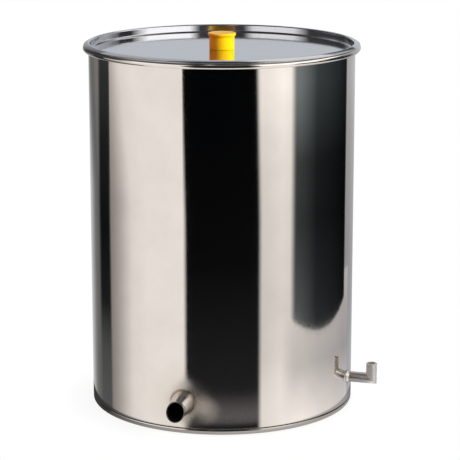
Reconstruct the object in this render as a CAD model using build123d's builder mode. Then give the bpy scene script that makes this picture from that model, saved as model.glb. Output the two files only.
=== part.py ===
from build123d import *
from math import cos, radians, sin, sqrt, tan
import os

os.makedirs("parts", exist_ok=True)

# Steam wax melter: a double-walled tank whose jacket holds the water, a sloping wax floor with an
# outlet pipe, a lid that lifts off and a perforated basket that lifts out.
# Millimetres, +Z up, origin at the centre of the base on the surface that it stands on.
# The wax outlet points along -Y and the water filler along +X.

# Tank shell, with its top edge rolled outwards into a bead
SHELL_D = 400.0
TANK_H = 549.8  # crest of the bead above the floor
SHELL_T = 1.0
BEAD_R = 4.6
BEAD_TURN = 300.0  # degrees of roll

# Base pan, lapped inside the shell below a visible seam
BASE_T = 1.5
BASE_BAND_H = 8.0
BASE_CORNER_R = 4.0
BASE_LAP_H = 14.0
SEAM_GAP = 1.4

# Inner vessel and the water jacket round it
JACKET_GAP = 18.0
VESSEL_T = 1.0
RING_DROP = 25.0  # jacket ring below the bead's crest
RING_T = 1.5
STEAM_HOLE_D = 8.0
STEAM_HOLE_COUNT = 16
STEAM_HOLE_DROP = 16.0  # hole centres below the jacket ring's top
FLOOR_T = 1.5
FLOOR_SKIRT = 6.0  # vessel wall below the wax floor
SUPPORT_D = 20.0
SUPPORT_T = 1.5
SUPPORT_PITCH_R = 110.0
SUPPORT_COUNT = 3

# Wax outlet: a pipe that falls away from the tank, with a conical collar at its root
OUTLET_D = 28.0
OUTLET_T = 1.5
OUTLET_Z = 48.5
OUTLET_FALL = 7.0  # degrees below level, for the pipe and for the wax floor
OUTLET_REACH = 36.0
OUTLET_LEAN = 17.0  # degrees that the end is cut back from upright
OUTLET_INNER_T = 1.0  # wall of the inner tube through the jacket
OUTLET_PROUD = 0.5  # least length of the inner tube outside the shell
COLLAR_D = 35.0
COLLAR_REACH = 27.0
COLLAR_EDGE_T = 0.6  # the collar's sheet

# Water filler: a level stub mitred to a short upright
FILLER_D = 16.0
FILLER_T = 2.2
FILLER_Z = 46.5
FILLER_REACH = 37.4
FILLER_RISE = 24.2
FILLER_LIP_R = 1.2
FILLER_INSIDE = 4.0  # stub length inside the jacket
WELD_SIZE = 2.6
WELD_LENGTH = 3.6
WELD_ROUND = 4.4

# Lid: a shallow pan whose edge lies over the bead
LID_T = 1.0
LID_DROP = 8.2  # top of the lid's disc below the bead's crest
LID_PLUG_GAP = 0.6  # recess wall to the shell's inside
LID_WALL_DRAFT = 0.6  # how far the recess wall leans in at the disc
LID_FLANGE_FALL = 26.0  # degrees
LID_EDGE_INSET = 1.2  # lid edge, in from the bead's outside
LID_CORNER_R = 3.0
LID_CREST_R = 2.5
LID_EDGE_R = 0.45

# Knob and what fastens it
KNOB_D = 37.5
KNOB_LIP_D = 42.0
KNOB_H = 24.6
KNOB_LIP_H = 3.2
KNOB_FLARE_H = 2.6
KNOB_LIP_ROUND = 1.3
KNOB_FLARE_ROUND = 3.0
KNOB_FOOT_ROUND = 0.6
SCREW_D = 6.0
SCREW_GRIP = 9.0  # screw length inside the knob
SCREW_HEAD_D = 11.0
SCREW_HEAD_H = 3.6
WASHER_D = 22.0
WASHER_T = 1.6
INSERT_D = 10.0
INSERT_L = 13.0

# Basket
BASKET_GAP = 12.0  # basket wall to vessel wall
BASKET_T = 1.0
BASKET_RISE = 15.0  # basket base above the highest point of the wax floor
BASKET_TOP_DROP = 85.0  # basket rim below the bead's crest
BASKET_FLOOR_T = 1.5
HOOP_T = 2.0
HOOP_H = 16.0
HOOP_FLANGE = 18.0  # width of the base hoop's inner flange
WALL_HOLE_D = 9.0
WALL_HOLE_COUNT = 24
WALL_HOLE_PITCH = 34.0
WALL_HOLE_MARGIN = 32.0
FLOOR_HOLE_D = 7.0
FLOOR_HOLE_PITCH = 21.0
REST_REACH = 24.0
REST_W = 30.0
REST_T = 2.5
REST_FOOT_GAP = 2.0  # bracket foot above the wax floor
REST_COUNT = 3

# Basket handles, which hang inside the basket
ROD_D = 7.0
HANDLE_W = 92.0
HANDLE_ARM = 66.0
HANDLE_BEND_R = 9.0
HANDLE_PIN_L = 18.0
HANDLE_DROP = 12.0  # pivot below the basket's rim
EAR_T = 3.0
EAR_R = 8.5

# Clearances
WELD_GAP = 0.1  # between pieces that are welded together
SEAT_GAP = 0.3  # between pieces that lift apart
PIN_GAP = 0.3  # loose hinge pins
FIT_GAP = 0.05  # pressed and screwed pieces
HANDLE_WALL_GAP = 1.5

# Sizes that follow
shell_r = SHELL_D / 2
shell_r_in = shell_r - SHELL_T
bead_c_r = shell_r_in + BEAD_R
bead_c_z = TANK_H - BEAD_R
vessel_r = shell_r_in - JACKET_GAP
vessel_r_in = vessel_r - VESSEL_T
ring_top = TANK_H - RING_DROP
outlet_r = OUTLET_D / 2
outlet_bore_r = outlet_r - OUTLET_T
inner_bore_r = outlet_r - OUTLET_INNER_T
filler_r = FILLER_D / 2
filler_x = shell_r + FILLER_REACH
fall = radians(OUTLET_FALL)
basket_r = vessel_r_in - BASKET_GAP
basket_r_in = basket_r - BASKET_T
basket_top = TANK_H - BASKET_TOP_DROP

outlet_plane = Plane(
    origin=(0, -shell_r, OUTLET_Z), x_dir=(1, 0, 0), z_dir=(0, -cos(fall), -sin(fall))
)
filler_plane = Plane(origin=(shell_r, 0, FILLER_Z), x_dir=(0, 1, 0), z_dir=(1, 0, 0))
mitre_plane = Plane(origin=(filler_x, 0, FILLER_Z), x_dir=(0, 1, 0), z_dir=(1, 0, 1))

# The pipe joins the inner tube outside the shell, under the collar
outlet_joint = (outlet_r + WELD_GAP) * sin(fall) + OUTLET_PROUD

# The wax floor runs into the lowest line of the inner tube's bore
floor_low_z = OUTLET_Z + (shell_r - vessel_r_in) * tan(fall) - inner_bore_r / cos(fall)
floor_plane = Plane(
    origin=(0, -vessel_r_in, floor_low_z), x_dir=(1, 0, 0), z_dir=(0, -sin(fall), cos(fall))
)

# The basket stands clear of the floor's high side, on brackets
floor_high_z = floor_low_z + 2 * vessel_r_in * tan(fall)
basket_base = floor_high_z + BASKET_RISE
basket_wall_base = basket_base + HOOP_T
rest_top = basket_base - SEAT_GAP
rest_foot = floor_high_z + REST_FOOT_GAP

# Outer shell: straight wall above the seam, with holes for the two pipes
with BuildPart() as outer_shell:
    with BuildSketch(Plane.XY.offset(BASE_BAND_H + SEAM_GAP)):
        Circle(shell_r)
        Circle(shell_r_in, mode=Mode.SUBTRACT)
    extrude(amount=bead_c_z - BASE_BAND_H - SEAM_GAP)
    with BuildSketch(outlet_plane):
        Circle(outlet_r + WELD_GAP)
    extrude(amount=JACKET_GAP / 2, both=True, mode=Mode.SUBTRACT)
    with BuildSketch(filler_plane):
        Circle(filler_r + WELD_GAP)
    extrude(amount=JACKET_GAP / 2, both=True, mode=Mode.SUBTRACT)

# Rim bead: the wall's top edge, rolled outwards
with BuildPart() as rim_bead:
    with BuildSketch(Plane.XZ):
        with BuildLine():
            CenterArc((bead_c_r, bead_c_z), BEAD_R - SHELL_T / 2, 180, -BEAD_TURN)
        trace(line_width=SHELL_T)
    revolve(axis=Axis.Z)

# Base pan: flat bottom, rounded edge, visible band, and a lap that stands inside the shell
with BuildPart() as base_pan:
    lap_r = shell_r_in - WELD_GAP
    inner_r = lap_r - BASE_T
    with BuildSketch(Plane.XZ):
        with BuildLine():
            Polyline((0, BASE_T), (0, 0), (shell_r - BASE_CORNER_R, 0))
            CenterArc((shell_r - BASE_CORNER_R, BASE_CORNER_R), BASE_CORNER_R, -90, 90)
            Polyline(
                (shell_r, BASE_CORNER_R),
                (shell_r, BASE_BAND_H),
                (lap_r, BASE_BAND_H),
                (lap_r, BASE_BAND_H + BASE_LAP_H),
                (inner_r, BASE_BAND_H + BASE_LAP_H),
                (inner_r, BASE_CORNER_R + BASE_T),
                (inner_r - BASE_CORNER_R, BASE_T),
                (0, BASE_T),
            )
        make_face()
    revolve(axis=Axis.Z)

# Inner vessel wall, with steam holes under its top edge
with BuildPart() as inner_vessel_wall:
    with BuildSketch():
        Circle(vessel_r)
        Circle(vessel_r_in, mode=Mode.SUBTRACT)
    extrude(amount=ring_top)
    split(bisect_by=floor_plane.offset(-FLOOR_T - FLOOR_SKIRT), keep=Keep.TOP)
    with BuildSketch(outlet_plane):
        Circle(outlet_r + WELD_GAP)
    extrude(amount=-2 * (shell_r - vessel_r_in), mode=Mode.SUBTRACT)
    with Locations((0, 0, ring_top - STEAM_HOLE_DROP)):
        with PolarLocations(vessel_r, STEAM_HOLE_COUNT):
            Cylinder(STEAM_HOLE_D / 2, 4 * VESSEL_T, rotation=(0, 90, 0), mode=Mode.SUBTRACT)

# Wax floor: a flat disc that falls towards the outlet
with BuildPart() as inner_vessel_floor:
    with BuildSketch():
        Circle(vessel_r_in - WELD_GAP)
    extrude(amount=TANK_H)
    split(bisect_by=floor_plane, keep=Keep.BOTTOM)
    split(bisect_by=floor_plane.offset(-FLOOR_T), keep=Keep.TOP)

# Ring that closes the top of the jacket
with BuildPart() as jacket_top_ring:
    with BuildSketch(Plane.XY.offset(ring_top - RING_T)):
        Circle(shell_r_in - WELD_GAP)
        Circle(vessel_r + WELD_GAP, mode=Mode.SUBTRACT)
    extrude(amount=RING_T)

# Tubes that carry the wax floor on the base pan
with BuildPart() as floor_supports:
    with BuildSketch(Plane.XY.offset(BASE_T)):
        with PolarLocations(SUPPORT_PITCH_R, SUPPORT_COUNT, start_angle=90):
            Circle(SUPPORT_D / 2)
            Circle(SUPPORT_D / 2 - SUPPORT_T, mode=Mode.SUBTRACT)
    extrude(amount=TANK_H)
    split(bisect_by=floor_plane.offset(-FLOOR_T), keep=Keep.BOTTOM)

# Inner tube of the outlet: flush inside the vessel, through the jacket, a little proud of the shell
with BuildPart() as outlet_inner_tube:
    with BuildSketch(outlet_plane.offset(outlet_joint - WELD_GAP)):
        Circle(outlet_r)
        Circle(inner_bore_r, mode=Mode.SUBTRACT)
    extrude(amount=-2 * (shell_r - vessel_r_in))
    with BuildSketch():
        Circle(vessel_r_in)
    extrude(amount=TANK_H, mode=Mode.SUBTRACT)

# Wax outlet pipe, butted to the inner tube and cut back at its outer end
with BuildPart() as wax_outlet_pipe:
    with BuildSketch(outlet_plane.offset(outlet_joint)):
        Circle(outlet_r)
        Circle(outlet_bore_r, mode=Mode.SUBTRACT)
    extrude(amount=OUTLET_REACH + OUTLET_D)
    lean = radians(OUTLET_LEAN)
    tip = outlet_plane.from_local_coords((0, 0, OUTLET_REACH))
    split(bisect_by=Plane(origin=tip, z_dir=(0, -cos(lean), sin(lean))), keep=Keep.BOTTOM)

# Conical collar of thin sheet, welded round the root of the outlet
with BuildPart() as outlet_collar:
    collar_edge_r = outlet_r + WELD_GAP + COLLAR_EDGE_T
    collar_slope = (COLLAR_D / 2 - collar_edge_r) / COLLAR_REACH
    collar_back_r = COLLAR_D / 2 + collar_slope * COLLAR_D / 2
    for inset, mode in ((0, Mode.ADD), (COLLAR_EDGE_T, Mode.SUBTRACT)):
        with BuildSketch(outlet_plane.offset(-COLLAR_D / 2)):
            Circle(collar_back_r - inset)
        with BuildSketch(outlet_plane.offset(COLLAR_REACH)):
            Circle(collar_edge_r - inset)
        loft(mode=mode)
    with BuildSketch():
        Circle(shell_r)
    extrude(amount=TANK_H, mode=Mode.SUBTRACT)

# Water filler: level stub, cut at the mitre
with BuildPart() as filler_stub:
    with BuildSketch(filler_plane.offset(-SHELL_T - FILLER_INSIDE)):
        Circle(filler_r)
        Circle(filler_r - FILLER_T, mode=Mode.SUBTRACT)
    extrude(amount=SHELL_T + FILLER_INSIDE + FILLER_REACH + FILLER_D)
    split(bisect_by=mitre_plane, keep=Keep.BOTTOM)

# Upright of the filler, open at the top with a rounded lip
with BuildPart() as filler_upright:
    with BuildSketch(Plane((filler_x, 0, FILLER_Z - FILLER_D))):
        Circle(filler_r)
        Circle(filler_r - FILLER_T, mode=Mode.SUBTRACT)
    extrude(amount=FILLER_D + FILLER_RISE)
    split(bisect_by=mitre_plane, keep=Keep.TOP)
    lip = filler_upright.faces().sort_by(Axis.Z)[-1].edges().sort_by(SortBy.LENGTH)[-1]
    fillet(lip, radius=FILLER_LIP_R)

# Weld bead round the filler's root
with BuildPart() as filler_weld_collar:
    weld_in_r = filler_r + WELD_GAP
    with BuildSketch(Plane.XZ):
        with BuildLine():
            root = (shell_r - WELD_LENGTH, FILLER_Z + weld_in_r)
            heel = (shell_r - WELD_LENGTH, FILLER_Z + weld_in_r + WELD_SIZE)
            shoulder = (shell_r, FILLER_Z + weld_in_r + WELD_SIZE)
            toe = (shell_r + WELD_LENGTH, FILLER_Z + weld_in_r)
            Polyline(toe, root, heel, shoulder)
            RadiusArc(shoulder, toe, WELD_ROUND)
        make_face()
    revolve(axis=Axis((0, 0, FILLER_Z), (1, 0, 0)))
    with BuildSketch():
        Circle(shell_r)
    extrude(amount=TANK_H, mode=Mode.SUBTRACT)

# Lid pan: disc, upright recess wall, crest, and a flange that follows the bead
flange = radians(LID_FLANGE_FALL)
lid_disc_mid_z = TANK_H - LID_DROP - LID_T / 2
lid_disc_top = lid_disc_mid_z + LID_T / 2
flange_off = BEAD_R + SEAT_GAP + LID_T / 2


def lid_flange_z(r):
    """Height of the flange's middle line, a seat gap clear of the bead."""
    return bead_c_z + (flange_off - sin(flange) * (r - bead_c_r)) / cos(flange)


with BuildPart() as lid_pan:
    mouth_r = shell_r_in - LID_PLUG_GAP - LID_T / 2
    edge_r = bead_c_r + BEAD_R - LID_EDGE_INSET
    with BuildSketch(Plane.XZ):
        with BuildLine():
            FilletPolyline(
                (0, lid_disc_mid_z),
                (mouth_r - LID_WALL_DRAFT, lid_disc_mid_z),
                (mouth_r, lid_flange_z(mouth_r)),
                (edge_r, lid_flange_z(edge_r)),
                radius=(LID_CORNER_R, LID_CREST_R),
            )
        trace(line_width=LID_T)
    revolve(axis=Axis.Z)
    rim_edges = lid_pan.edges().filter_by(GeomType.CIRCLE).sort_by(SortBy.RADIUS)[-2:]
    fillet(rim_edges, radius=LID_EDGE_R)
    with Locations((0, 0, lid_disc_mid_z)):
        Cylinder(SCREW_D / 2 + SEAT_GAP, 3 * LID_T, mode=Mode.SUBTRACT)

# Knob: a turned form with a flared lip, and a blind hole for the insert
with BuildPart() as lid_knob:
    knob_top = lid_disc_top + KNOB_H
    with BuildSketch(Plane.XZ):
        with BuildLine():
            FilletPolyline(
                (0, lid_disc_top),
                (KNOB_D / 2, lid_disc_top),
                (KNOB_D / 2, knob_top - KNOB_LIP_H - KNOB_FLARE_H),
                (KNOB_LIP_D / 2, knob_top - KNOB_LIP_H),
                (KNOB_LIP_D / 2, knob_top),
                (0, knob_top),
                radius=(KNOB_FOOT_ROUND, KNOB_FLARE_ROUND, KNOB_LIP_ROUND, KNOB_LIP_ROUND),
            )
            Line((0, knob_top), (0, lid_disc_top))
        make_face()
    revolve(axis=Axis.Z)
    with BuildSketch(Plane.XY.offset(lid_disc_top)):
        Circle(INSERT_D / 2 + FIT_GAP)
    extrude(amount=INSERT_L + FIT_GAP, mode=Mode.SUBTRACT)

# Threaded insert moulded into the knob
with BuildPart() as knob_insert:
    with BuildSketch(Plane.XY.offset(lid_disc_top)):
        Circle(INSERT_D / 2)
        Circle(SCREW_D / 2 + FIT_GAP, mode=Mode.SUBTRACT)
    extrude(amount=INSERT_L)

# Washer and screw under the lid
washer_top = lid_disc_top - LID_T
with BuildPart() as knob_washer:
    with BuildSketch(Plane.XY.offset(washer_top - WASHER_T)):
        Circle(WASHER_D / 2)
        Circle(SCREW_D / 2 + SEAT_GAP, mode=Mode.SUBTRACT)
    extrude(amount=WASHER_T)

with BuildPart() as knob_screw:
    head_top = washer_top - WASHER_T
    with BuildSketch(Plane.XY.offset(head_top - SCREW_HEAD_H)):
        Circle(SCREW_HEAD_D / 2)
    extrude(amount=SCREW_HEAD_H)
    fillet(knob_screw.edges().sort_by(Axis.Z)[0], radius=SCREW_HEAD_H / 2)
    with BuildSketch(Plane.XY.offset(head_top)):
        Circle(SCREW_D / 2)
    extrude(amount=WASHER_T + LID_T + SCREW_GRIP)

# Brackets on the vessel wall that the basket stands on
with BuildPart() as basket_rest:
    with BuildSketch(Plane.XZ):
        with BuildLine():
            rest_out = vessel_r_in + REST_T
            rest_back = vessel_r_in - REST_T
            Polyline(
                (vessel_r_in - REST_REACH, rest_top),
                (rest_out, rest_top),
                (rest_out, rest_foot),
                (rest_back, rest_foot),
                (rest_back, rest_top - REST_T),
                (vessel_r_in - REST_REACH, rest_top - REST_T),
                close=True,
            )
        make_face()
    extrude(amount=REST_W / 2, both=True)
    with BuildSketch():
        Circle(vessel_r_in - WELD_GAP)
    extrude(amount=TANK_H, mode=Mode.INTERSECT)

with BuildPart() as basket_rests:
    with PolarLocations(0, REST_COUNT, start_angle=90):
        add(basket_rest.part)

# Basket wall, perforated in staggered rows
with BuildPart() as basket_wall:
    with BuildSketch(Plane.XY.offset(basket_wall_base)):
        Circle(basket_r)
        Circle(basket_r_in, mode=Mode.SUBTRACT)
    extrude(amount=basket_top - basket_wall_base)
    wall_span = basket_top - basket_wall_base - 2 * WALL_HOLE_MARGIN
    row_count = int(wall_span / WALL_HOLE_PITCH) + 1
    for row in range(row_count):
        row_z = basket_wall_base + WALL_HOLE_MARGIN + row * WALL_HOLE_PITCH
        stagger = (row % 2) * 180 / WALL_HOLE_COUNT
        with Locations((0, 0, row_z)):
            with PolarLocations(basket_r, WALL_HOLE_COUNT, start_angle=stagger):
                Cylinder(WALL_HOLE_D / 2, 6 * BASKET_T, rotation=(0, 90, 0), mode=Mode.SUBTRACT)

# Basket floor: a sieve with rings of holes
with BuildPart() as basket_floor:
    with BuildSketch(Plane.XY.offset(basket_wall_base)):
        Circle(basket_r_in - WELD_GAP)
        Circle(FLOOR_HOLE_D / 2, mode=Mode.SUBTRACT)
        hole_rings = int((basket_r_in - HOOP_FLANGE) / FLOOR_HOLE_PITCH)
        for ring in range(1, hole_rings + 1):
            with PolarLocations(ring * FLOOR_HOLE_PITCH, 6 * ring):
                Circle(FLOOR_HOLE_D / 2, mode=Mode.SUBTRACT)
    extrude(amount=BASKET_FLOOR_T)

# Hoop round the basket's foot, with a flange under the wall and the floor
with BuildPart() as basket_base_hoop:
    hoop_in_r = basket_r + WELD_GAP
    with BuildSketch(Plane.XZ):
        with BuildLine():
            Polyline(
                (basket_r_in - HOOP_FLANGE, basket_base),
                (hoop_in_r + HOOP_T, basket_base),
                (hoop_in_r + HOOP_T, basket_base + HOOP_H),
                (hoop_in_r, basket_base + HOOP_H),
                (hoop_in_r, basket_wall_base),
                (basket_r_in - HOOP_FLANGE, basket_wall_base),
                close=True,
            )
        make_face()
    revolve(axis=Axis.Z)

# Hoop round the basket's rim
with BuildPart() as basket_rim_hoop:
    with BuildSketch(Plane.XY.offset(basket_top - HOOP_H)):
        Circle(hoop_in_r + HOOP_T)
        Circle(hoop_in_r, mode=Mode.SUBTRACT)
    extrude(amount=HOOP_H)
    fillet(basket_rim_hoop.edges().sort_by(Axis.Z)[-2:], radius=HOOP_T / 3)

# Ears inside the basket that hold the handles' pins
rod_r = ROD_D / 2
pin_end_y = HANDLE_W / 2 + HANDLE_PIN_L
pivot_x = sqrt((basket_r_in - HANDLE_WALL_GAP) ** 2 - pin_end_y**2) - rod_r
pivot_z = basket_top - HANDLE_DROP
ear_y = pin_end_y - EAR_T - rod_r / 2

with BuildPart() as basket_ears:
    with BuildSketch(Plane.XZ.offset(ear_y)):
        with Locations((pivot_x, pivot_z)):
            Circle(EAR_R)
            Rectangle(basket_r - pivot_x, 2 * EAR_R, align=(Align.MIN, Align.CENTER))
            Circle(rod_r + PIN_GAP, mode=Mode.SUBTRACT)
    extrude(amount=EAR_T)
    with BuildSketch():
        Circle(basket_r_in - WELD_GAP)
    extrude(amount=TANK_H, mode=Mode.INTERSECT)
    mirror(about=Plane.XZ)
    mirror(about=Plane.YZ)

# Handles: bent rods that hang from the ears, one on each side
handles = {}
for side, name in ((-1, "basket_handle_left"), (1, "basket_handle_right")):
    with BuildPart() as handle:
        with BuildLine():
            handle_x = side * pivot_x
            grip_z = pivot_z - HANDLE_ARM
            FilletPolyline(
                (handle_x, -pin_end_y, pivot_z),
                (handle_x, -HANDLE_W / 2, pivot_z),
                (handle_x, -HANDLE_W / 2, grip_z),
                (handle_x, HANDLE_W / 2, grip_z),
                (handle_x, HANDLE_W / 2, pivot_z),
                (handle_x, pin_end_y, pivot_z),
                radius=HANDLE_BEND_R,
            )
        with BuildSketch(Plane(origin=(handle_x, -pin_end_y, pivot_z), z_dir=(0, 1, 0))):
            Circle(rod_r)
        sweep()
    handles[name] = handle

pieces = {
    "outer_shell": outer_shell,
    "rim_bead": rim_bead,
    "base_pan": base_pan,
    "inner_vessel_wall": inner_vessel_wall,
    "inner_vessel_floor": inner_vessel_floor,
    "jacket_top_ring": jacket_top_ring,
    "floor_supports": floor_supports,
    "outlet_inner_tube": outlet_inner_tube,
    "wax_outlet_pipe": wax_outlet_pipe,
    "outlet_collar": outlet_collar,
    "filler_stub": filler_stub,
    "filler_upright": filler_upright,
    "filler_weld_collar": filler_weld_collar,
    "basket_rests": basket_rests,
    "lid_pan": lid_pan,
    "lid_knob": lid_knob,
    "knob_insert": knob_insert,
    "knob_washer": knob_washer,
    "knob_screw": knob_screw,
    "basket_wall": basket_wall,
    "basket_floor": basket_floor,
    "basket_base_hoop": basket_base_hoop,
    "basket_rim_hoop": basket_rim_hoop,
    "basket_ears": basket_ears,
    **handles,
}
for name, piece in pieces.items():
    piece.part.label = name
    export_step(piece.part, f"parts/{name}.step")
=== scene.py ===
from math import cos, pi, radians, sin, sqrt

import bmesh
import bpy
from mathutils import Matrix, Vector


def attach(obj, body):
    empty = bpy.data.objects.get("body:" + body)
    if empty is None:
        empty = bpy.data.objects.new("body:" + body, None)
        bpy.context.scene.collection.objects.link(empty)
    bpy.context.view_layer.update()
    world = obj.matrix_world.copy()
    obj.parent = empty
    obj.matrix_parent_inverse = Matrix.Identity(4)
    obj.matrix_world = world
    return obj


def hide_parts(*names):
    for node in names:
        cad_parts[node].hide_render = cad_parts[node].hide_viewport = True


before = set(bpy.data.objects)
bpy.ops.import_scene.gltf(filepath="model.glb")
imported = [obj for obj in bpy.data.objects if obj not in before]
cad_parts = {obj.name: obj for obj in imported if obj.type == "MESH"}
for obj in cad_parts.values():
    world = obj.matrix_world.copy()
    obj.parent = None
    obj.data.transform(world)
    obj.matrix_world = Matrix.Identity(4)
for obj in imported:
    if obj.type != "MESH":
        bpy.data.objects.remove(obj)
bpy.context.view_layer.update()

# Steam wax melter in polished stainless steel. Shapes are drawn in millimetres and written in metres.
MM = 0.001

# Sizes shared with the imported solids
SHELL_R = 200.0
SHELL_T = 1.0
WELD_GAP, SEAT_GAP = 0.1, 0.3
SEAM_LOW, SEAM_HIGH = 8.0, 9.4
BASE_T = 1.5
BASE_CORNER_R = 4.0
BASE_LAP_TOP = 22.0
BEAD_R = 4.6
BEAD_TURN = 300.0
BEAD_C = Vector((SHELL_R - SHELL_T + BEAD_R, 0, 545.2))
OUTLET_ROOT = Vector((0, -SHELL_R, 48.5))
OUTLET_FALL = radians(7)
OUTLET_AXIS = Vector((0, -cos(OUTLET_FALL), -sin(OUTLET_FALL)))
OUTLET_R, OUTLET_BORE_R = 14.0, 12.5
OUTLET_REACH = 36.0
OUTLET_LEAN = radians(17)
COLLAR_R = 17.5
FILLER_Z, FILLER_X = 46.5, 237.4
FILLER_ROOT = Vector((SHELL_R, 0, FILLER_Z))
FILLER_AXIS = Vector((1, 0, 0))
FILLER_R, FILLER_BORE_R = 8.0, 5.8
FILLER_TOP = 70.7
FILLER_LIP_R = 1.2
LID_DISC_TOP = 541.6
LID_T = 1.0
LID_PLUG_GAP = 0.6
LID_FLANGE_FALL = radians(26)
LID_EDGE_INSET = 1.2
KNOB_R, KNOB_LIP_R = 18.75, 21.0
KNOB_H = 24.6
KNOB_LIP_H, KNOB_FLARE_H = 3.2, 2.6


# Materials


def linear(code):
    """An sRGB hex colour as linear RGBA."""
    parts = [int(code[i : i + 2], 16) / 255 for i in (1, 3, 5)]
    return [c / 12.92 if c <= 0.04045 else ((c + 0.055) / 1.055) ** 2.4 for c in parts] + [1]


def node(tree, kind, sockets=None, stops=None, **settings):
    """Adds a node, with its settings, its sockets' values or links, and a ramp's stops."""
    new = tree.nodes.new(kind)
    for key, value in settings.items():
        setattr(new, key, value)
    for key, value in (sockets or {}).items():
        if isinstance(value, bpy.types.NodeSocket):
            tree.links.new(value, new.inputs[key])
        else:
            new.inputs[key].default_value = value
    for i, (place, colour) in enumerate(stops or []):
        ramp = new.color_ramp
        stop = ramp.elements[i] if i < 2 else ramp.elements.new(place)
        stop.position, stop.color = place, colour
    return new


def surface(name):
    """A new material, its node tree and its Principled shader."""
    material = bpy.data.materials.new(name)
    material.use_nodes = True
    return material, material.node_tree, material.node_tree.nodes["Principled BSDF"]


def per_mm(size):
    """Scale of a noise whose features are about this many millimetres across."""
    return 1 / (size * MM)


NOISE_LOW, NOISE_HIGH = 0.3, 0.7  # most values of a noise lie between these
CLOUD = 45.0  # mm across the clouds of tone in a sheet
LICK = 14.0  # mm across the licks at the edge of a heat zone
RAGGED = 0.16  # how far noise tears that edge, as a share of the zone's width
WEAR = 2.5  # power by which a heat zone's dullness stays near its middle


def steel(name, colours, rough, grain, relief, wave=None, heat=(), pale_patches=(), stretch=(1, 1, 1)):
    """Metal with two close colours in clouds and a fine grain in gloss and relief.

    grain is in mm, drawn coarser than real polishing marks so that it shows, and stretch draws it out.
    wave is the size and depth of slow dents, and heat lists zones round welds: centre, inner and outer
    radius in mm, oxide colour and roughness. pale_patches lists pale patches where the metal is less
    metallic: centre and radius in mm, colour and the share of the metal that it covers in the middle."""
    material, tree, shader = surface(name)
    place = node(tree, "ShaderNodeTexCoord").outputs["Object"]
    along = node(tree, "ShaderNodeMapping", {"Vector": place, "Scale": stretch}).outputs["Vector"]
    cloud = node(tree, "ShaderNodeTexNoise", {"Vector": place, "Scale": per_mm(CLOUD), "Detail": 3.0})
    fine = node(tree, "ShaderNodeTexNoise", {"Vector": along, "Scale": per_mm(grain), "Detail": 2.0})
    tone = node(
        tree,
        "ShaderNodeValToRGB",
        {"Fac": cloud.outputs["Fac"]},
        stops=[(NOISE_LOW, linear(colours[0])), (NOISE_HIGH, linear(colours[1]))],
    ).outputs["Color"]
    gloss = node(
        tree,
        "ShaderNodeMapRange",
        {
            "Value": fine.outputs["Fac"],
            "From Min": NOISE_LOW,
            "From Max": NOISE_HIGH,
            "To Min": rough[0],
            "To Max": rough[1],
        },
    ).outputs["Result"]
    for centre, near, far, hue, dull in heat:
        torn = RAGGED * (far - near)
        reach = node(tree, "ShaderNodeVectorMath", {0: place, 1: Vector(centre) * MM}, operation="DISTANCE")
        lick = node(tree, "ShaderNodeTexNoise", {"Vector": place, "Scale": per_mm(LICK), "Detail": 2.0})
        ragged = node(
            tree,
            "ShaderNodeMath",
            {0: lick.outputs["Fac"], 1: torn * MM, 2: reach.outputs["Value"]},
            operation="MULTIPLY_ADD",
        )
        fade = node(
            tree,
            "ShaderNodeMapRange",
            {
                "Value": ragged.outputs[0],
                "From Min": (near + torn / 2) * MM,
                "From Max": (far + torn / 2) * MM,
                "To Min": 1.0,
                "To Max": 0.0,
            },
            interpolation_type="SMOOTHSTEP",
        ).outputs["Result"]
        tone = node(
            tree, "ShaderNodeMixRGB", {"Fac": fade, "Color1": tone, "Color2": linear(hue)}
        ).outputs["Color"]
        worn = node(tree, "ShaderNodeMath", {0: fade, 1: WEAR}, operation="POWER")
        gloss = node(tree, "ShaderNodeMix", {0: worn.outputs[0], 2: gloss, 3: dull}).outputs[0]
    bare = 1.0
    for centre, far, hue, cover in pale_patches:
        reach = node(tree, "ShaderNodeVectorMath", {0: place, 1: Vector(centre) * MM}, operation="DISTANCE")
        fade = node(
            tree,
            "ShaderNodeMapRange",
            {
                "Value": reach.outputs["Value"],
                "From Min": 0.0,
                "From Max": far * MM,
                "To Min": cover,
                "To Max": 0.0,
            },
            interpolation_type="SMOOTHSTEP",
        ).outputs["Result"]
        tone = node(
            tree, "ShaderNodeMixRGB", {"Fac": fade, "Color1": tone, "Color2": linear(hue)}
        ).outputs["Color"]
        bare = node(tree, "ShaderNodeMath", {0: bare, 1: fade}, operation="SUBTRACT").outputs[0]
    tree.links.new(tone, shader.inputs["Base Color"])
    tree.links.new(gloss, shader.inputs["Roughness"])
    if pale_patches:
        tree.links.new(bare, shader.inputs["Metallic"])
    else:
        shader.inputs["Metallic"].default_value = bare
    bump = node(tree, "ShaderNodeBump", {"Height": fine.outputs["Fac"], "Distance": relief * MM})
    if wave:
        size, depth = wave
        swell = node(tree, "ShaderNodeTexNoise", {"Vector": place, "Scale": per_mm(size), "Detail": 1.0})
        bump = node(
            tree,
            "ShaderNodeBump",
            {"Height": swell.outputs["Fac"], "Distance": depth * MM, "Normal": bump.outputs["Normal"]},
        )
    tree.links.new(bump.outputs["Normal"], shader.inputs["Normal"])
    return material


# Rolled sheet, buffed to a mirror: sharp reflections that bend a little where the sheet isn't true,
# straw-brown heat colour where the two pipes were welded, and two pale, less metallic patches beside the
# outlet
mirror_sheet = steel(
    "mirror_polished_stainless_sheet",
    ("#E6DED6", "#E0D8D0"),
    (0.035, 0.075),
    grain=3.0,
    relief=0.0008,
    wave=(160, 0.05),
    heat=(
        (OUTLET_ROOT, 12.0, 66.0, "#DDD3C8", 0.4),
        (OUTLET_ROOT, 17.5, 22.0, "#A5825C", 0.34),
        (FILLER_ROOT, 9.0, 15.0, "#CFC0A8", 0.25),
    ),
    pale_patches=(
        ((23, -199, 48), 26.0, "#D8D2C4", 0.22),
        ((34, -197, 39), 27.0, "#D8D2C4", 0.3),
    ),
)
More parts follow.
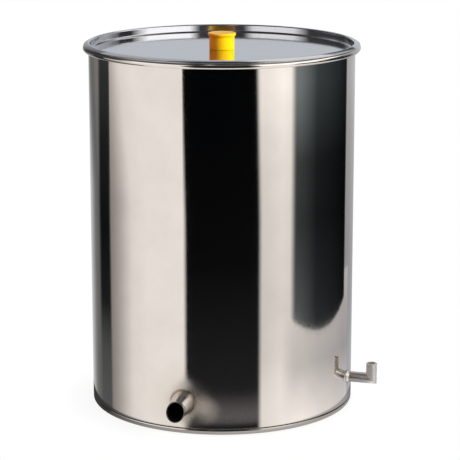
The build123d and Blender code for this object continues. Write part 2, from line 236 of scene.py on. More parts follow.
# Pressed and buffed lid: a plainer, slightly cooler mirror than the wall
lid_sheet = steel(
    "pressed_polished_stainless_lid",
    ("#DCDBDC", "#D6D6D8"),
    (0.06, 0.1),
    grain=3.0,
    relief=0.0006,
    wave=(120, 0.03),
)
# Drawn tube, polished by hand: softer highlights than the sheet's, with a faint grain
tube = steel(
    "hand_polished_stainless_tube", ("#D6D3D0", "#C8C4C0"), (0.15, 0.22), grain=2.2, relief=0.001
)
# The filler's stub and its weld, only rubbed with a pad: satin steel that blurs what it reflects
satin_tube = steel(
    "satin_stainless_tube", ("#EAE4E0", "#DED7D2"), (0.3, 0.4), grain=1.2, relief=0.002
)
# The filler's upright, blasted: matt and pale, with no clear reflections
matt_tube = steel(
    "blasted_stainless_tube", ("#F2EDE8", "#E8E2DC"), (0.58, 0.68), grain=1.2, relief=0.002
)
# Cold-rolled sheet as it comes from the mill: a silky grey with blurred reflections
mill_sheet = steel(
    "mill_finish_stainless_sheet", ("#C9C7C3", "#BDBBB8"), (0.26, 0.36), grain=1.2, relief=0.003
)
# Steel that the buffing wheel doesn't reach, in the lap of the base seam and on the outlet's sawn end:
# dull, and painted a dark grey as shade, which draws the seam's groove and the mouth
dull_and_shaded_sheet = steel(
    "unbuffed_stainless_painted_shade", ("#6E6B68", "#5A5755"), (0.45, 0.6), grain=1.2, relief=0.003
)
# Punched sheet for the basket: a little brighter than the mill sheet, from punching and handling
punched_sheet = steel(
    "punched_stainless_sheet", ("#CFCCC6", "#BEBBB5"), (0.2, 0.34), grain=2.0, relief=0.004
)
# Drawn rod for the handles: bright, with fine draw lines along the grip
rod = steel(
    "drawn_stainless_rod",
    ("#D2CEC8", "#C4BFB8"),
    (0.16, 0.26),
    grain=0.9,
    relief=0.003,
    stretch=(1, 0.08, 1),
)
# Weld bead left as it cooled: duller than the sheet, with straw and brown oxide
weld = steel("cooled_stainless_weld_bead", ("#C3B8A8", "#8C7355"), (0.22, 0.42), grain=1.3, relief=0.05)
# Zinc plate on the screw and washer: pale blue-grey with a soft sparkle
zinc = steel("zinc_plated_steel", ("#C6CBD2", "#B4BAC4"), (0.24, 0.38), grain=0.7, relief=0.003)
# Turned brass insert inside the knob: a warm yellow with soft highlights
brass = steel("turned_brass", ("#D9B45C", "#C79F48"), (0.2, 0.32), grain=0.8, relief=0.003)

# Injection-moulded polypropylene knob: saturated yellow, light goes a little way in, faint moulded skin,
# which is drawn coarser than a real one so that it shows
KNOB_SKIN, KNOB_FLOW = 0.9, 14.0  # mm across the skin's grain and the flow of tone
knob_plastic, tree, shader = surface("moulded_yellow_polypropylene")
place = node(tree, "ShaderNodeTexCoord").outputs["Object"]
skin = node(tree, "ShaderNodeTexNoise", {"Vector": place, "Scale": per_mm(KNOB_SKIN), "Detail": 2.0})
flow = node(tree, "ShaderNodeTexNoise", {"Vector": place, "Scale": per_mm(KNOB_FLOW), "Detail": 2.0})
tone = node(
    tree,
    "ShaderNodeValToRGB",
    {"Fac": flow.outputs["Fac"]},
    stops=[(NOISE_LOW, linear("#FFC400")), (NOISE_HIGH, linear("#FFCA00"))],
)
tree.links.new(tone.outputs["Color"], shader.inputs["Base Color"])
gloss = node(
    tree, "ShaderNodeMapRange", {"Value": skin.outputs["Fac"], "To Min": 0.28, "To Max": 0.42}
)
tree.links.new(gloss.outputs["Result"], shader.inputs["Roughness"])
bump = node(
    tree, "ShaderNodeBump", {"Height": skin.outputs["Fac"], "Strength": 0.4, "Distance": 0.02 * MM}
)
tree.links.new(bump.outputs["Normal"], shader.inputs["Normal"])
shader.inputs["Specular IOR Level"].default_value = 0.35
shader.inputs["Subsurface Weight"].default_value = 0.45
shader.inputs["Subsurface Radius"].default_value = (1.0, 0.22, 0.03)
shader.inputs["Subsurface Scale"].default_value = 8 * MM


# Shapes

MERGE = 0.001  # mm within which doubles are merged


def chain(bm, points):
    """A run of edges through (radius, height) points, in the plane of +X and +Z."""
    verts = [bm.verts.new((r, 0, z)) for r, z in points]
    for a, b in zip(verts, verts[1:]):
        bm.edges.new((a, b))
    return verts


def closed(bm, points):
    """A closed run of edges through points."""
    verts = [bm.verts.new(point) for point in points]
    for a, b in zip(verts, verts[1:] + verts[:1]):
        bm.edges.new((a, b))
    return verts


def round_off(bm, corners):
    """Rounds a chain's corners, given as (vertex, length cut from each side, segments)."""
    for vert, cut, segments in corners:
        bmesh.ops.bevel(
            bm,
            geom=[vert],
            offset=cut,
            offset_type="OFFSET",
            segments=segments,
            profile=0.5,
            affect="VERTICES",
            material=-1,
        )


def ease(bm, edges, cut, segments):
    """Rounds the edges of a sawn end."""
    bmesh.ops.bevel(
        bm,
        geom=edges,
        offset=cut,
        offset_type="OFFSET",
        segments=segments,
        profile=0.5,
        affect="EDGES",
        material=-1,
    )


def clean(bm):
    """Merges doubles and turns the faces outwards."""
    bmesh.ops.remove_doubles(bm, verts=bm.verts, dist=MERGE)
    bmesh.ops.recalc_face_normals(bm, faces=bm.faces)


def turn(bm, steps, centre=(0, 0, 0), axis=(0, 0, 1)):
    """Spins what is drawn right round an axis."""
    bmesh.ops.spin(
        bm,
        geom=bm.verts[:] + bm.edges[:],
        cent=centre,
        axis=axis,
        angle=2 * pi,
        steps=steps,
        use_merge=True,
    )
    clean(bm)


def piece(bm, name, material, body, replaced=(), sharp=32, sheet=0, edge=0):
    """Writes a finished mesh that rides on a body, with an optional sheet thickness and edge bevel."""
    bmesh.ops.scale(bm, vec=(MM, MM, MM), verts=bm.verts)
    mesh = bpy.data.meshes.new(name)
    bm.to_mesh(mesh)
    bm.free()
    mesh.materials.append(material)
    mesh.polygons.foreach_set("use_smooth", [True] * len(mesh.polygons))
    mesh.set_sharp_from_angle(angle=radians(sharp))
    obj = bpy.data.objects.new(name, mesh)
    bpy.context.scene.collection.objects.link(obj)
    if sheet:
        wall = obj.modifiers.new("sheet", "SOLIDIFY")
        wall.thickness = sheet * MM
        wall.offset = 0
        wall.use_even_offset = True
    if edge:
        bevel = obj.modifiers.new("edge", "BEVEL")
        bevel.width = edge * MM
        bevel.segments = 2
        bevel.limit_method = "ANGLE"
        bevel.angle_limit = radians(60)
    if sheet or edge:
        # Large faces keep their own direction, so that flats and walls reflect true
        level = obj.modifiers.new("level", "WEIGHTED_NORMAL")
        level.keep_sharp = True
    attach(obj, body)
    if replaced:
        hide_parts(*replaced)
    return obj


def square_to(axis, out):
    """Part of an offset that is square to an axis."""
    return out - axis * out.dot(axis)


# Tank wall and rim bead: one rolled sheet, cut for the two pipes
TANK_STEPS = 360  # faces round the tank
LOW_ROW = 20.0  # height of a row of faces under the holes
PORT_LOW, PORT_ROW, PORT_ROWS = 25.0, 2.6, 20  # close rows where the holes are
OUTLET_HOLE_R, FILLER_HOLE_R = 15.6, 9.2
PORT_REACH = 40.0  # a hole lies within this of its middle
PORTS = ((OUTLET_ROOT, OUTLET_AXIS, OUTLET_HOLE_R), (FILLER_ROOT, FILLER_AXIS, FILLER_HOLE_R))
bm = bmesh.new()
wall_r = SHELL_R - SHELL_T / 2
rows = [SEAM_HIGH, LOW_ROW] + [PORT_LOW + PORT_ROW * i for i in range(PORT_ROWS)] + [BEAD_C.z]
top = chain(bm, [(wall_r, z) for z in rows])[-1]
bmesh.ops.spin(
    bm, geom=[top], cent=BEAD_C, axis=(0, 1, 0), angle=radians(BEAD_TURN), steps=40, use_merge=False
)
bmesh.ops.remove_doubles(bm, verts=bm.verts, dist=MERGE)
turn(bm, TANK_STEPS)
for root, axis, hole_r in PORTS:
    near = [v for v in bm.verts if (v.co - root).length < PORT_REACH]
    inside = {v for v in near if square_to(axis, v.co - root).length < hole_r}
    bmesh.ops.delete(bm, geom=[f for f in bm.faces if inside.intersection(f.verts)], context="FACES")
    # The hole's edge is drawn out to its round and back onto the wall; the wall's lower edge is left
    for v in bm.verts:
        if v.is_boundary and (v.co - root).length < PORT_REACH and v.co.z > 2 * SEAM_HIGH:
            away = square_to(axis, v.co - root)
            v.co += away * (hole_r / away.length - 1)
            v.co *= Vector((wall_r / v.co.xy.length, wall_r / v.co.xy.length, 1))
piece(
    bm,
    "tank_wall_sheet",
    mirror_sheet,
    "tank",
    ("outer_shell", "rim_bead"),
    sheet=SHELL_T,
    edge=0.3,
)

# Base pan: rounded edge, band and the lap behind the seam
LAP_R = SHELL_R - SHELL_T - WELD_GAP
LAP_INNER_R = LAP_R - BASE_T
BAND_ROUND = 0.7
SHADED_LAP_BELOW, SHADED_LAP_IN = 0.2, 0.3  # the lap's dull sheet, painted dark as the seam's shade, starts this far below the band's top and in from the wall
bm = bmesh.new()
profile = chain(
    bm,
    [
        (0, 0),
        (SHELL_R, 0),
        (SHELL_R, SEAM_LOW),
        (LAP_R, SEAM_LOW),
        (LAP_R, BASE_LAP_TOP),
        (LAP_INNER_R, BASE_LAP_TOP),
        (LAP_INNER_R, BASE_T),
        (0, BASE_T),
    ],
)
round_off(
    bm, [(profile[1], BASE_CORNER_R, 8), (profile[2], BAND_ROUND, 4), (profile[6], BASE_CORNER_R, 4)]
)
turn(bm, TANK_STEPS)
# Faces of the lap behind the seam get the dull dark sheet: painted shade in the seam's groove
for face in bm.faces:
    middle = face.calc_center_median()
    face.material_index = int(
        middle.z > SEAM_LOW - SHADED_LAP_BELOW and middle.xy.length < SHELL_R - SHADED_LAP_IN
    )
pan = piece(bm, "base_pan_pressing", mirror_sheet, "tank", ("base_pan",))
pan.data.materials.append(dull_and_shaded_sheet)

# Lid: disc, upright recess wall, crest and flange over the bead
SCREW_HOLE_R = 3.3
RECESS_DRAFT = 0.1  # how far the recess wall leans in at the disc
FLANGE_CROWN = 0.35  # how far the flange swells above a straight slope
CROWN_IN = 2.6  # place of that crown, in from the lid's edge
flange_off = BEAD_R + SEAT_GAP + LID_T / 2
mouth_r = SHELL_R - SHELL_T - LID_PLUG_GAP - LID_T / 2
lid_edge_r = BEAD_C.x + BEAD_R - LID_EDGE_INSET
crown_r = lid_edge_r - CROWN_IN
disc_z = LID_DISC_TOP - LID_T / 2


def flange_z(r):
    """Height of the flange's middle line where it lies over the bead."""
    return BEAD_C.z + (flange_off - sin(LID_FLANGE_FALL) * (r - BEAD_C.x)) / cos(LID_FLANGE_FALL)


bm = bmesh.new()
profile = chain(
    bm,
    [
        (SCREW_HOLE_R, disc_z),
        (mouth_r - RECESS_DRAFT, disc_z),
        (mouth_r, flange_z(mouth_r)),
        (crown_r, flange_z(crown_r) + FLANGE_CROWN),
        (lid_edge_r, flange_z(lid_edge_r)),
    ],
)
round_off(bm, [(profile[1], 2.8, 8), (profile[2], 3.6, 14), (profile[3], 2.0, 8)])
turn(bm, TANK_STEPS)
piece(
    bm, "lid_pan_pressing", lid_sheet, "lid", ("lid_pan",), sheet=LID_T, edge=0.3
)

# Knob: moulded with a flared lip and a slightly dished top
DISH_R, DISH = 15.0, 0.5  # where the dish has half its depth, and its depth in the middle
bm = bmesh.new()
foot, crown = LID_DISC_TOP, LID_DISC_TOP + KNOB_H
profile = chain(
    bm,
    [
        (0, foot),
        (KNOB_R, foot),
        (KNOB_R, crown - KNOB_LIP_H - KNOB_FLARE_H),
        (KNOB_LIP_R, crown - KNOB_LIP_H),
        (KNOB_LIP_R, crown),
        (DISH_R, crown - DISH / 2),
        (0, crown - DISH),
    ],
)
round_off(
    bm,
    [
        (profile[1], 0.6, 3),
        (profile[2], 1.6, 5),
        (profile[3], 1.0, 4),
        (profile[4], 1.3, 6),
        (profile[5], 3.0, 4),
    ],
)
turn(bm, 96)
piece(bm, "lid_knob_moulding", knob_plastic, "lid", ("lid_knob",))


def tube_along(bm, start, axis, length, outer_r, bore_r, steps=72):
    """A tube with square ends, spun round its axis from a rectangle in its wall."""
    side = axis.orthogonal().normalized()
    corners = ((bore_r, 0), (outer_r, 0), (outer_r, length), (bore_r, length))
    closed(bm, [start + side * r + axis * s for r, s in corners])
    turn(bm, steps, start, axis)


ON_CUT = 0.01  # mm within which a point lies on a sawn or square end


def saw(bm, at, normal):
    """Cuts away what lies past a plane and closes the tube's end."""
    bmesh.ops.bisect_plane(
        bm, geom=bm.verts[:] + bm.edges[:] + bm.faces[:], plane_co=at, plane_no=normal, clear_outer=True
    )
    rim = [e for e in bm.edges if e.is_boundary]
    bmesh.ops.bridge_loops(bm, edges=rim)
    clean(bm)


# Outlet: one tube from the vessel to its end, which is cut back
OUTLET_INSIDE, OUTLET_BLANK = 20.0, 80.0  # length inside the wall, and length before it is sawn
MOUTH_ROUND = 0.9
SAWN_AND_SHADED = 1.0  # faces within this of the cut get the dull sawn finish, painted dark as shade at the bore's mouth
bm = bmesh.new()
tube_along(
    bm, OUTLET_ROOT - OUTLET_INSIDE * OUTLET_AXIS, OUTLET_AXIS, OUTLET_BLANK, OUTLET_R, OUTLET_BORE_R
)
mouth = OUTLET_ROOT + OUTLET_REACH * OUTLET_AXIS
facing = Vector((0, -cos(OUTLET_LEAN), sin(OUTLET_LEAN)))
saw(bm, mouth, facing)
lip = {v for v in bm.verts if abs((v.co - mouth).dot(facing)) < ON_CUT}
inner = {v for v in lip if (v.co - mouth).cross(OUTLET_AXIS).length < (OUTLET_R + OUTLET_BORE_R) / 2}
ease(bm, [e for e in bm.edges if inner.issuperset(e.verts)], MOUTH_ROUND, 3)
# The sawn end and its inner rounding get the dull dark sheet: a dull sawn finish and painted shade at the
# mouth
for face in bm.faces:
    face.material_index = int((face.calc_center_median() - mouth).dot(facing) > -SAWN_AND_SHADED)
outlet = piece(
    bm,
    "wax_outlet_tube",
    tube,
    "tank",
    ("wax_outlet_pipe", "outlet_inner_tube"),
    edge=0.35,
)
outlet.data.materials.append(dull_and_shaded_sheet)

# Collar: a cone that is ground flush where it meets the tube, 1 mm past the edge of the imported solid
COLLAR_INSIDE, COLLAR_REACH = 1.5, 28.0  # length inside the wall and outside it
COLLAR_ROOT_R, COLLAR_TIP_R = COLLAR_R + 0.15, OUTLET_R + 0.05
bm = bmesh.new()
side = Vector((1, 0, 0))
line = [(OUTLET_R, -COLLAR_INSIDE), (COLLAR_ROOT_R, -COLLAR_INSIDE), (COLLAR_TIP_R, COLLAR_REACH)]
closed(bm, [OUTLET_ROOT + side * r + OUTLET_AXIS * s for r, s in line])
turn(bm, 96, OUTLET_ROOT, OUTLET_AXIS)
piece(bm, "outlet_collar_cone", tube, "tank", ("outlet_collar",))


def bead(bm, centre, axis, ring_r, bead_r, steps=120, sides=10):
    """A weld bead: a small ring spun round a pipe's axis."""
    side = axis.orthogonal().normalized()
    first = bm.verts.new(centre + side * (ring_r + bead_r))
    bmesh.ops.spin(
        bm,
        geom=[first],
        cent=centre + side * ring_r,
        axis=axis.cross(side),
        angle=2 * pi,
        steps=sides,
        use_merge=True,
    )
    clean(bm)
    turn(bm, steps, centre, axis)


# Weld round the outlet's root, laid on the curve of the wall
ROOT_WELD_RING_R, ROOT_WELD_R = COLLAR_R + 0.2, 0.9
bm = bmesh.new()
bead(bm, OUTLET_ROOT, Vector((0, -1, 0)), ROOT_WELD_RING_R, ROOT_WELD_R)
for v in bm.verts:
    v.co.y += SHELL_R - sqrt(SHELL_R**2 - v.co.x**2)
piece(bm, "outlet_root_weld", weld, "tank")

# Filler: level stub and upright, sawn to a mitre
FILLER_INSIDE = 5.0
STUB_BLANK, UPRIGHT_BLANK = 60.0, 40.0  # lengths before they are sawn
mitre = Vector((FILLER_X, 0, FILLER_Z))
bm = bmesh.new()
tube_along(
    bm, FILLER_ROOT - FILLER_INSIDE * FILLER_AXIS, FILLER_AXIS, STUB_BLANK, FILLER_R, FILLER_BORE_R
)
saw(bm, mitre, Vector((1, 0, 1)).normalized())
piece(bm, "filler_stub_tube", satin_tube, "tank", ("filler_stub",), edge=0.25)

bm = bmesh.new()
tube_along(
    bm, Vector((FILLER_X, 0, FILLER_TOP)), Vector((0, 0, -1)), UPRIGHT_BLANK, FILLER_R, FILLER_BORE_R
)
saw(bm, mitre, Vector((-1, 0, -1)).normalized())
lip = [e for e in bm.edges if all(abs(v.co.z - FILLER_TOP) < ON_CUT for v in e.verts)]
mid_wall_r = (FILLER_R + FILLER_BORE_R) / 2
ease(bm, [e for e in lip if all((v.co - mitre).xy.length > mid_wall_r for v in e.verts)], FILLER_LIP_R, 5)
piece(bm, "filler_upright_tube", matt_tube, "tank", ("filler_upright",), edge=0.25)

# Weld round the filler's root: a fillet between tube and wall, drawn out from the wall and off the tube
FILLET = ((-2.0, 2.9), (0.6, 2.6), (2.4, 0.9), (4.2, 0.0), (-2.0, 0.0))
FILLET_ROUND = 0.8
bm = bmesh.new()
verts = closed(bm, [(SHELL_R + out, 0, FILLER_Z + (FILLER_R + off)) for out, off in FILLET])
round_off(bm, [(verts[1], FILLET_ROUND, 3), (verts[2], FILLET_ROUND, 3)])
turn(bm, 72, (0, 0, FILLER_Z), FILLER_AXIS)
piece(bm, "filler_root_weld", satin_tube, "tank", ("filler_weld_collar",))

# Finishes of the nodes that keep their CAD shape
FINISHES = {
    mill_sheet: (
        "inner_vessel_wall",
        "inner_vessel_floor",
        "jacket_top_ring",
        "floor_supports",
        "basket_rests",
    ),
    punched_sheet: ("basket_wall", "basket_floor", "basket_base_hoop", "basket_rim_hoop", "basket_ears"),
    rod: ("basket_handle_left", "basket_handle_right"),
    zinc: ("knob_washer", "knob_screw"),
    brass: ("knob_insert",),
}
for material, names in FINISHES.items():
    for name in names:
        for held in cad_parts[name].material_slots:
            held.material = material


# Studio, in metres

WHITE = "#FFFFFF"


def staged(bm, name, material, **visible):
    """Writes a floor or card, which isn't part of the object."""
    mesh = bpy.data.meshes.new(name)
    bm.to_mesh(mesh)
    bm.free()
    mesh.materials.append(material)
    obj = bpy.data.objects.new(name, mesh)
    bpy.context.scene.collection.objects.link(obj)
    for key, value in visible.items():
        setattr(obj, "visible_" + key, value)
    return obj


def seen_directly(tree):
    """1 for rays from the camera, from mirrors and through glass, 0 for other rays."""
    path = node(tree, "ShaderNodeLightPath").outputs
    first = node(
        tree,
        "ShaderNodeMath",
        {0: path["Is Camera Ray"], 1: path["Is Glossy Ray"]},
        operation="ADD",
    )
    both = node(
        tree,
        "ShaderNodeMath",
        {0: first.outputs[0], 1: path["Is Transmission Ray"]},
        operation="ADD",
        use_clamp=True,
    )
    return both.outputs[0]


# White surround: full white to the eye and to the mirrors, dimmer as light
WORLD_LIGHT = 0.12
world = bpy.data.worlds.new("white_surround")
bpy.context.scene.world = world
world.use_nodes = True
tree = world.node_tree
tree.nodes.clear()
dim = node(tree, "ShaderNodeBackground", {"Color": (1, 1, 1, 1), "Strength": WORLD_LIGHT})
white = node(tree, "ShaderNodeBackground", {"Color": (1, 1, 1, 1), "Strength": 1.0})
mixed = node(
    tree, "ShaderNodeMixShader", {0: seen_directly(tree), 1: dim.outputs[0], 2: white.outputs[0]}
)
node(tree, "ShaderNodeOutputWorld", {"Surface": mixed.outputs[0]})

# Floor: matt pale paper that runs into the white surround, with a painted shadow where the base stands;
# mirrors see only a painted shade by the base, a grey glow that changes with bearing
CAMERA_TURN = radians(16.78)  # how far to the right of the outlet the camera stands
FLOOR_R = 0.46
FLOOR_DROP = 0.0005  # keeps the paper clear of the base's own face
FIBRE = 1.5  # mm across the paper's fibre, drawn coarser than real so that it shows
PAINTED_SHADOW_IN, PAINTED_SHADOW_OUT = 0.196, 0.206  # radii between which the painted shadow under the base's edge goes over to the paper
EYE_IN, EYE_OUT = 0.2, 0.25  # radii between which the paper turns full white to the eye
EYE_SHARE = 0.92  # how much of that white it has by the base
SHADE_R, SHADE_EDGE = 0.229, 0.006  # reach of the painted shade that mirrors see, and the width of its edge
SHADE_FRONT = CAMERA_TURN + radians(25)  # the bearing on which that painted shade is palest
paper, tree, shader = surface("matt_studio_paper")
place = node(tree, "ShaderNodeTexCoord").outputs["Object"]
fibre = node(tree, "ShaderNodeTexNoise", {"Vector": place, "Scale": per_mm(FIBRE), "Detail": 3.0})
tone = node(
    tree,
    "ShaderNodeValToRGB",
    {"Fac": fibre.outputs["Fac"]},
    stops=[(NOISE_LOW, linear("#F1F0EE")), (NOISE_HIGH, linear("#F6F5F3"))],
)
reach = node(tree, "ShaderNodeVectorMath", {0: place}, operation="LENGTH")
under = node(
    tree,
    "ShaderNodeMapRange",
    {"Value": reach.outputs["Value"], "From Min": PAINTED_SHADOW_IN, "From Max": PAINTED_SHADOW_OUT},
)
# Painted shadow: the paper's colour goes dark where the base stands on it
painted_shadow = node(
    tree,
    "ShaderNodeMixRGB",
    {"Fac": under.outputs["Result"], "Color1": linear("#747270"), "Color2": tone.outputs["Color"]},
)
tree.links.new(painted_shadow.outputs["Color"], shader.inputs["Base Color"])
shader.inputs["Roughness"].default_value = 0.9
shader.inputs["Specular IOR Level"].default_value = 0.1
glow = node(tree, "ShaderNodeEmission", {"Color": (1, 1, 1, 1), "Strength": 1.0})
edge = node(
    tree,
    "ShaderNodeMapRange",
    {
        "Value": reach.outputs["Value"],
        "From Min": EYE_IN,
        "From Max": EYE_OUT,
        "To Min": EYE_SHARE,
        "To Max": 1.0,
    },
)
path = node(tree, "ShaderNodeLightPath").outputs
white = node(
    tree, "ShaderNodeMath", {0: path["Is Camera Ray"], 1: edge.outputs["Result"]}, operation="MULTIPLY"
)
lit = node(tree, "ShaderNodeMixShader", {0: white.outputs[0], 1: shader.outputs[0], 2: glow.outputs[0]})
# Mirrors see the paper by the base as a glowing grey that changes with bearing: painted shade, which no
# lamp lights
ahead = node(
    tree,
    "ShaderNodeVectorMath",
    {0: place, 1: Vector((sin(SHADE_FRONT), -cos(SHADE_FRONT), 0)) / SHADE_R},
    operation="DOT_PRODUCT",
)
shade = node(
    tree,
    "ShaderNodeValToRGB",
    {"Fac": ahead.outputs["Value"]},
    stops=[
        (0.0, linear("#3E3F40")),
        (0.3, linear("#7E7E80")),
        (0.55, linear("#A6A6A8")),
        (0.85, linear("#B6B6B6")),
        (1.0, linear("#CACACA")),
    ],
)
painted_shade_glow = node(tree, "ShaderNodeEmission", {"Color": shade.outputs["Color"], "Strength": 1.0})
lit = node(
    tree,
    "ShaderNodeMixShader",
    {0: path["Is Glossy Ray"], 1: lit.outputs[0], 2: painted_shade_glow.outputs[0]},
)
past = node(
    tree,
    "ShaderNodeMapRange",
    {"Value": reach.outputs["Value"], "From Min": SHADE_R - SHADE_EDGE, "From Max": SHADE_R},
)
clear = node(
    tree, "ShaderNodeMath", {0: path["Is Glossy Ray"], 1: past.outputs["Result"]}, operation="MULTIPLY"
)
through = node(tree, "ShaderNodeBsdfTransparent")
blend = node(
    tree, "ShaderNodeMixShader", {0: clear.outputs[0], 1: lit.outputs[0], 2: through.outputs[0]}
)
tree.links.new(blend.outputs[0], tree.nodes["Material Output"].inputs["Surface"])
bm = bmesh.new()
bmesh.ops.create_circle(bm, cap_ends=True, segments=128, radius=FLOOR_R)
floor = staged(bm, "studio_floor", paper)
floor.location.z = -FLOOR_DROP

# What the mirrors show: cards on circles round the tank, which the camera and the shadows don't see
ROOM_LOW, MID_LOW, MID_HIGH, ROOM_HIGH = -1.8, 0.5, 1.7, 3.8
SURROUND_R = 1.7
LEAN_TOP = 0.35  # height by which a leaning pattern has made its whole shift
TURN_START = 1.0  # degrees from the seam of a card's round gradient to the card's left edge
TOUCH = 1e-5  # distance within which points are one
MIRRORS_ONLY = {"camera": False, "diffuse": False, "shadow": False, "transmission": False}


def glowing(name):
    """A new material with an empty node tree, for what only glows."""
    material = bpy.data.materials.new(name)
    material.use_nodes = True
    material.node_tree.nodes.clear()
    return material, material.node_tree


def card(name, bearings, heights, radius, across=(), up=(), soft=None, lean=0.0, sag=0.0, glow=1.0):
    """A glowing card between two bearings in degrees, counted to the right from the camera.

    across and up give tones by bearing and by height, which multiply; soft is the width in degrees
    over which its two side edges fade, lean the degrees that its pattern shifts to the left from the
    floor up to LEAN_TOP, sag how far its lower edge hangs in the middle, and glow its strength."""
    start, end = bearings
    low, high = heights
    across = across or ((start, WHITE), (end, WHITE))
    up = up or ((low, WHITE), (high, WHITE))
    material, tree = glowing(name)
    place = node(tree, "ShaderNodeTexCoord").outputs["Object"]
    spin = -pi / 2 - CAMERA_TURN - radians(start - TURN_START)
    turned = node(tree, "ShaderNodeMapping", {"Vector": place, "Rotation": (0, 0, spin)})
    round_it = node(
        tree, "ShaderNodeTexGradient", {"Vector": turned.outputs["Vector"]}, gradient_type="RADIAL"
    )
    level = node(tree, "ShaderNodeSeparateXYZ", {"Vector": place}).outputs["Z"]
    leaning = node(
        tree,
        "ShaderNodeMapRange",
        {"Value": level, "From Min": 0.0, "From Max": LEAN_TOP, "To Min": 0.0, "To Max": lean / 360},
    )
    bearing = node(
        tree,
        "ShaderNodeMath",
        {0: leaning.outputs[0], 1: round_it.outputs["Fac"]},
        operation="ADD",
    ).outputs[0]
    height = node(tree, "ShaderNodeMapRange", {"Value": level, "From Min": low, "From Max": high})
    side = node(
        tree,
        "ShaderNodeValToRGB",
        {"Fac": bearing},
        stops=[((at - start + TURN_START) / 360, linear(hue)) for at, hue in across],
    )
    rise = node(
        tree,
        "ShaderNodeValToRGB",
        {"Fac": height.outputs["Result"]},
        stops=[((at - low) / (high - low), linear(hue)) for at, hue in up],
    )
    tone = node(
        tree,
        "ShaderNodeMixRGB",
        {"Fac": 1.0, "Color1": side.outputs["Color"], "Color2": rise.outputs["Color"]},
        blend_type="MULTIPLY",
    )
    face = node(tree, "ShaderNodeEmission", {"Color": tone.outputs["Color"], "Strength": glow}).outputs[0]
    if soft:
        last = TURN_START + end - start
        edges = [(TURN_START, 0), (TURN_START + soft[0], 1), (last - soft[1], 1), (last, 0)]
        fade = node(
            tree,
            "ShaderNodeValToRGB",
            {"Fac": bearing},
            stops=[(at / 360, (shown, shown, shown, 1)) for at, shown in edges],
        )
        clear = node(tree, "ShaderNodeBsdfTransparent").outputs[0]
        face = node(tree, "ShaderNodeMixShader", {0: fade.outputs["Color"], 1: clear, 2: face}).outputs[0]
    node(tree, "ShaderNodeOutputMaterial", {"Surface": face})

    bm = bmesh.new()
    first = CAMERA_TURN + radians(start)
    foot = bm.verts.new((radius * sin(first), -radius * cos(first), low))
    head = bm.verts.new(foot.co + Vector((0, 0, high - low)))
    bm.edges.new((foot, head))
    bmesh.ops.spin(
        bm,
        geom=bm.verts[:] + bm.edges[:],
        cent=(0, 0, 0),
        axis=(0, 0, 1),
        angle=radians(end - start),
        steps=int(end - start),
        use_merge=False,
    )
    bmesh.ops.remove_doubles(bm, verts=bm.verts, dist=TOUCH)
    for v in bm.verts:
        if sag and v.co.z < low + TOUCH:
            run = v.co.xy.angle(foot.co.xy) / radians(end - start)
            v.co.z += sag * (2 * run - 1) ** 2
    staged(bm, name, material, **MIRRORS_ONLY)


card(
    "left_surround",
    (-205, 2),
    (ROOM_LOW, ROOM_HIGH),
    SURROUND_R,
    across=(
        (-205, "#C6CAD1"),
        (-156, "#C6CAD1"),
        (-148, "#A8ABAE"),
        (-140, "#7E8082"),
        (-132, "#6A6C6E"),
        (-107, "#928F8E"),
        (-98, "#AFADAB"),
        (-93, "#C2C1BF"),
        (-88, "#D6D5D4"),
        (-80, "#F3F3F3"),
        (-64, WHITE),
    ),
    lean=15.0,
)
card(
    "right_surround",
    (0, 200),
    (ROOM_LOW, ROOM_HIGH),
    1.69,
    across=(
        (0, "#F0F0F0"),
        (35, "#F0F0F0"),
        (50, WHITE),
        (58, "#F8F8F8"),
        (67, "#DCDCDE"),
        (130, "#A4A4A8"),
        (156, "#B3B7BD"),
        (200, "#B3B7BD"),
    ),
    up=(
        (ROOM_LOW, "#F4F4F4"),
        (-0.45, "#F1F1F1"),
        (-0.34, "#DFDFDF"),
        (-0.22, "#DBDBDB"),
        (0.02, "#E3E3E3"),
        (0.14, "#EBEBEB"),
        (0.27, WHITE),
        (ROOM_HIGH, WHITE),
    ),
    soft=(1, 40),
    glow=1.25,
)
card(
    "bright_corner",
    (130, 172),
    (MID_HIGH, ROOM_HIGH),
    1.6,
    across=((130, "#F4F4F4"), (172, "#F4F4F4")),
    soft=(10, 8),
)
card(
    "front_black",
    (-31.6, 32.7),
    (ROOM_LOW, MID_LOW),
    1.6,
    up=(
        (ROOM_LOW, "#17181A"),
        (-0.475, "#1C1D1F"),
        (-0.44, "#68686A"),
        (-0.385, "#232427"),
        (-0.1, "#0A0B0D"),
        (0.2, "#030406"),
        (MID_LOW, "#020305"),
    ),
    soft=(3, 3.5),
    lean=2.4,
)
card(
    "front_top",
    (-30, 31),
    (MID_LOW, MID_HIGH),
    1.6,
    across=((-30, "#3C3D40"), (31, "#3C3D40")),
    soft=(9, 10),
)
card(
    "left_black",
    (-130.5, -106.8),
    (ROOM_LOW, MID_LOW),
    1.6,
    up=(
        (ROOM_LOW, "#5A5E61"),
        (-0.43, "#585C5F"),
        (-0.34, "#4E5255"),
        (-0.23, "#1E2022"),
        (-0.05, "#111416"),
        (0.14, "#1E2123"),
        (0.33, "#363A3C"),
        (MID_LOW, "#363A3C"),
    ),
    soft=(5, 2.5),
    lean=-2.5,
)
card(
    "left_top_dark",
    (-152, -72),
    (MID_LOW, 1.3),
    1.6,
    across=((-152, "#3C3C3E"), (-72, "#464648")),
    soft=(8, 18),
)
card(
    "right_low_grey",
    (48, 141),
    (ROOM_LOW, -0.15),
    1.55,
    across=((48, WHITE), (70, "#FAFAFA"), (90, "#E6E6E8"), (130, "#CACACE")),
    up=((ROOM_LOW, WHITE), (-0.45, WHITE), (-0.33, "#C8C8CA"), (-0.15, "#E0E0E0")),
    soft=(14, 3),
    glow=1.2,
)
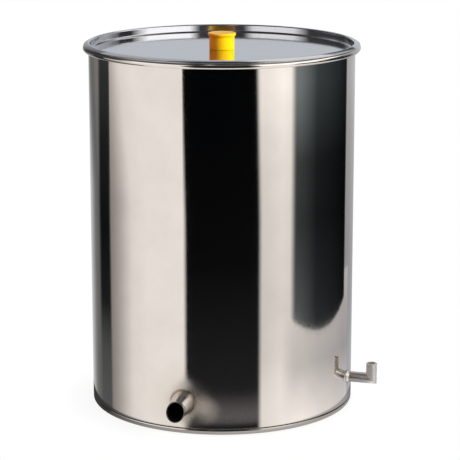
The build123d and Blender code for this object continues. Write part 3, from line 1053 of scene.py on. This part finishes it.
card(
    "right_dark",
    (57, 129.5),
    (-0.245, MID_LOW),
    1.5,
    across=((57, "#7E878C"), (66, "#7C858A"), (84, "#3E464A"), (129.5, "#15191C")),
    up=((-0.245, "#C0C0C0"), (0.0, "#7C7C7C"), (0.14, "#8A8A8A"), (0.3, WHITE), (MID_LOW, WHITE)),
    soft=(5, 1),
    sag=0.045,
)
card(
    "right_top_dark",
    (74, 130),
    (MID_LOW, 1.0),
    1.5,
    across=((74, "#3A3A3E"), (130, "#2A2A2E")),
    soft=(20, 20),
)
card(
    "left_corner",
    (-174, -138),
    (1.4, 3.4),
    1.55,
    across=((-174, "#BCBEC2"), (-138, "#B4B6BA")),
    soft=(10, 6),
)
card(
    "right_back_dark",
    (148, 172),
    (1.0, 1.7),
    1.58,
    across=((148, "#4A4C50"), (172, "#4A4C50")),
    soft=(8, 8),
)
card("left_window", (-84, -22), (MID_LOW, 1.3), 1.62, soft=(22, 18), glow=1.15)
card("right_window", (16, 118), (MID_LOW, MID_HIGH), 1.62, soft=(12, 12), glow=1.6)
card(
    "left_ceiling",
    (-150, -10),
    (1.3, ROOM_HIGH),
    1.6,
    across=((-150, "#444444"), (-10, "#484848")),
    soft=(10, 10),
)
card(
    "right_ceiling",
    (-15, 125),
    (MID_HIGH, ROOM_HIGH),
    1.6,
    across=((-15, "#6A6A6C"), (125, "#7A7A7C")),
    soft=(10, 10),
)

# A grey disc closes the circle of cards at the top
overhead, tree = glowing("overhead_grey")
glow = node(tree, "ShaderNodeEmission", {"Color": linear("#3E3E42")})
node(tree, "ShaderNodeOutputMaterial", {"Surface": glow.outputs[0]})
bm = bmesh.new()
bmesh.ops.create_circle(bm, cap_ends=True, segments=64, radius=SURROUND_R)
ceiling = staged(bm, "overhead_grey", overhead, **MIRRORS_ONLY)
ceiling.location.z = ROOM_HIGH

# Soft lamps, as place, size, watts and colour: overhead, key from the right, weak warm fill from the left;
# mirrors don't show them
LAMP_AIM = Vector((0, 0, 0.35))
LAMPS = (
    ("overhead_softbox", (0.2, -0.2, 2.4), 1.6, 5.0, WHITE),
    ("key_softbox", (2.27, -0.45, 1.25), 0.7, 108.0, WHITE),
    ("fill_softbox", (-1.8, -1.0, 1.2), 1.2, 14.0, "#FF6420"),
)
for name, place, size, power, hue in LAMPS:
    lamp = bpy.data.lights.new(name, "AREA")
    lamp.size = size
    lamp.energy = power
    lamp.color = linear(hue)[:3]
    obj = bpy.data.objects.new(name, lamp)
    bpy.context.scene.collection.objects.link(obj)
    obj.location = place
    aim = LAMP_AIM - Vector(place)
    obj.rotation_euler = aim.to_track_quat("-Z", "Y").to_euler()
    obj.visible_camera = False
    obj.visible_glossy = False

# Camera at the photograph's viewing angle
FOCAL_PX, FRAME_PX, SENSOR = 2000.0, 460.0, 36.0
CAMERA_YAW, CAMERA_PITCH = radians(-0.234), radians(13.12)
CAMERA_REACH, CAMERA_HEIGHT = 2.984, 0.958
camera = bpy.data.cameras.new("camera")
camera.sensor_width = SENSOR
camera.lens = FOCAL_PX / FRAME_PX * SENSOR
view = bpy.data.objects.new("camera", camera)
bpy.context.scene.collection.objects.link(view)
view.location = (CAMERA_REACH * sin(CAMERA_TURN), -CAMERA_REACH * cos(CAMERA_TURN), CAMERA_HEIGHT)
view.rotation_euler = (pi / 2 - CAMERA_PITCH, 0, CAMERA_TURN + CAMERA_YAW)
bpy.context.scene.camera = view
bpy.context.scene.view_settings.view_transform = "Standard"
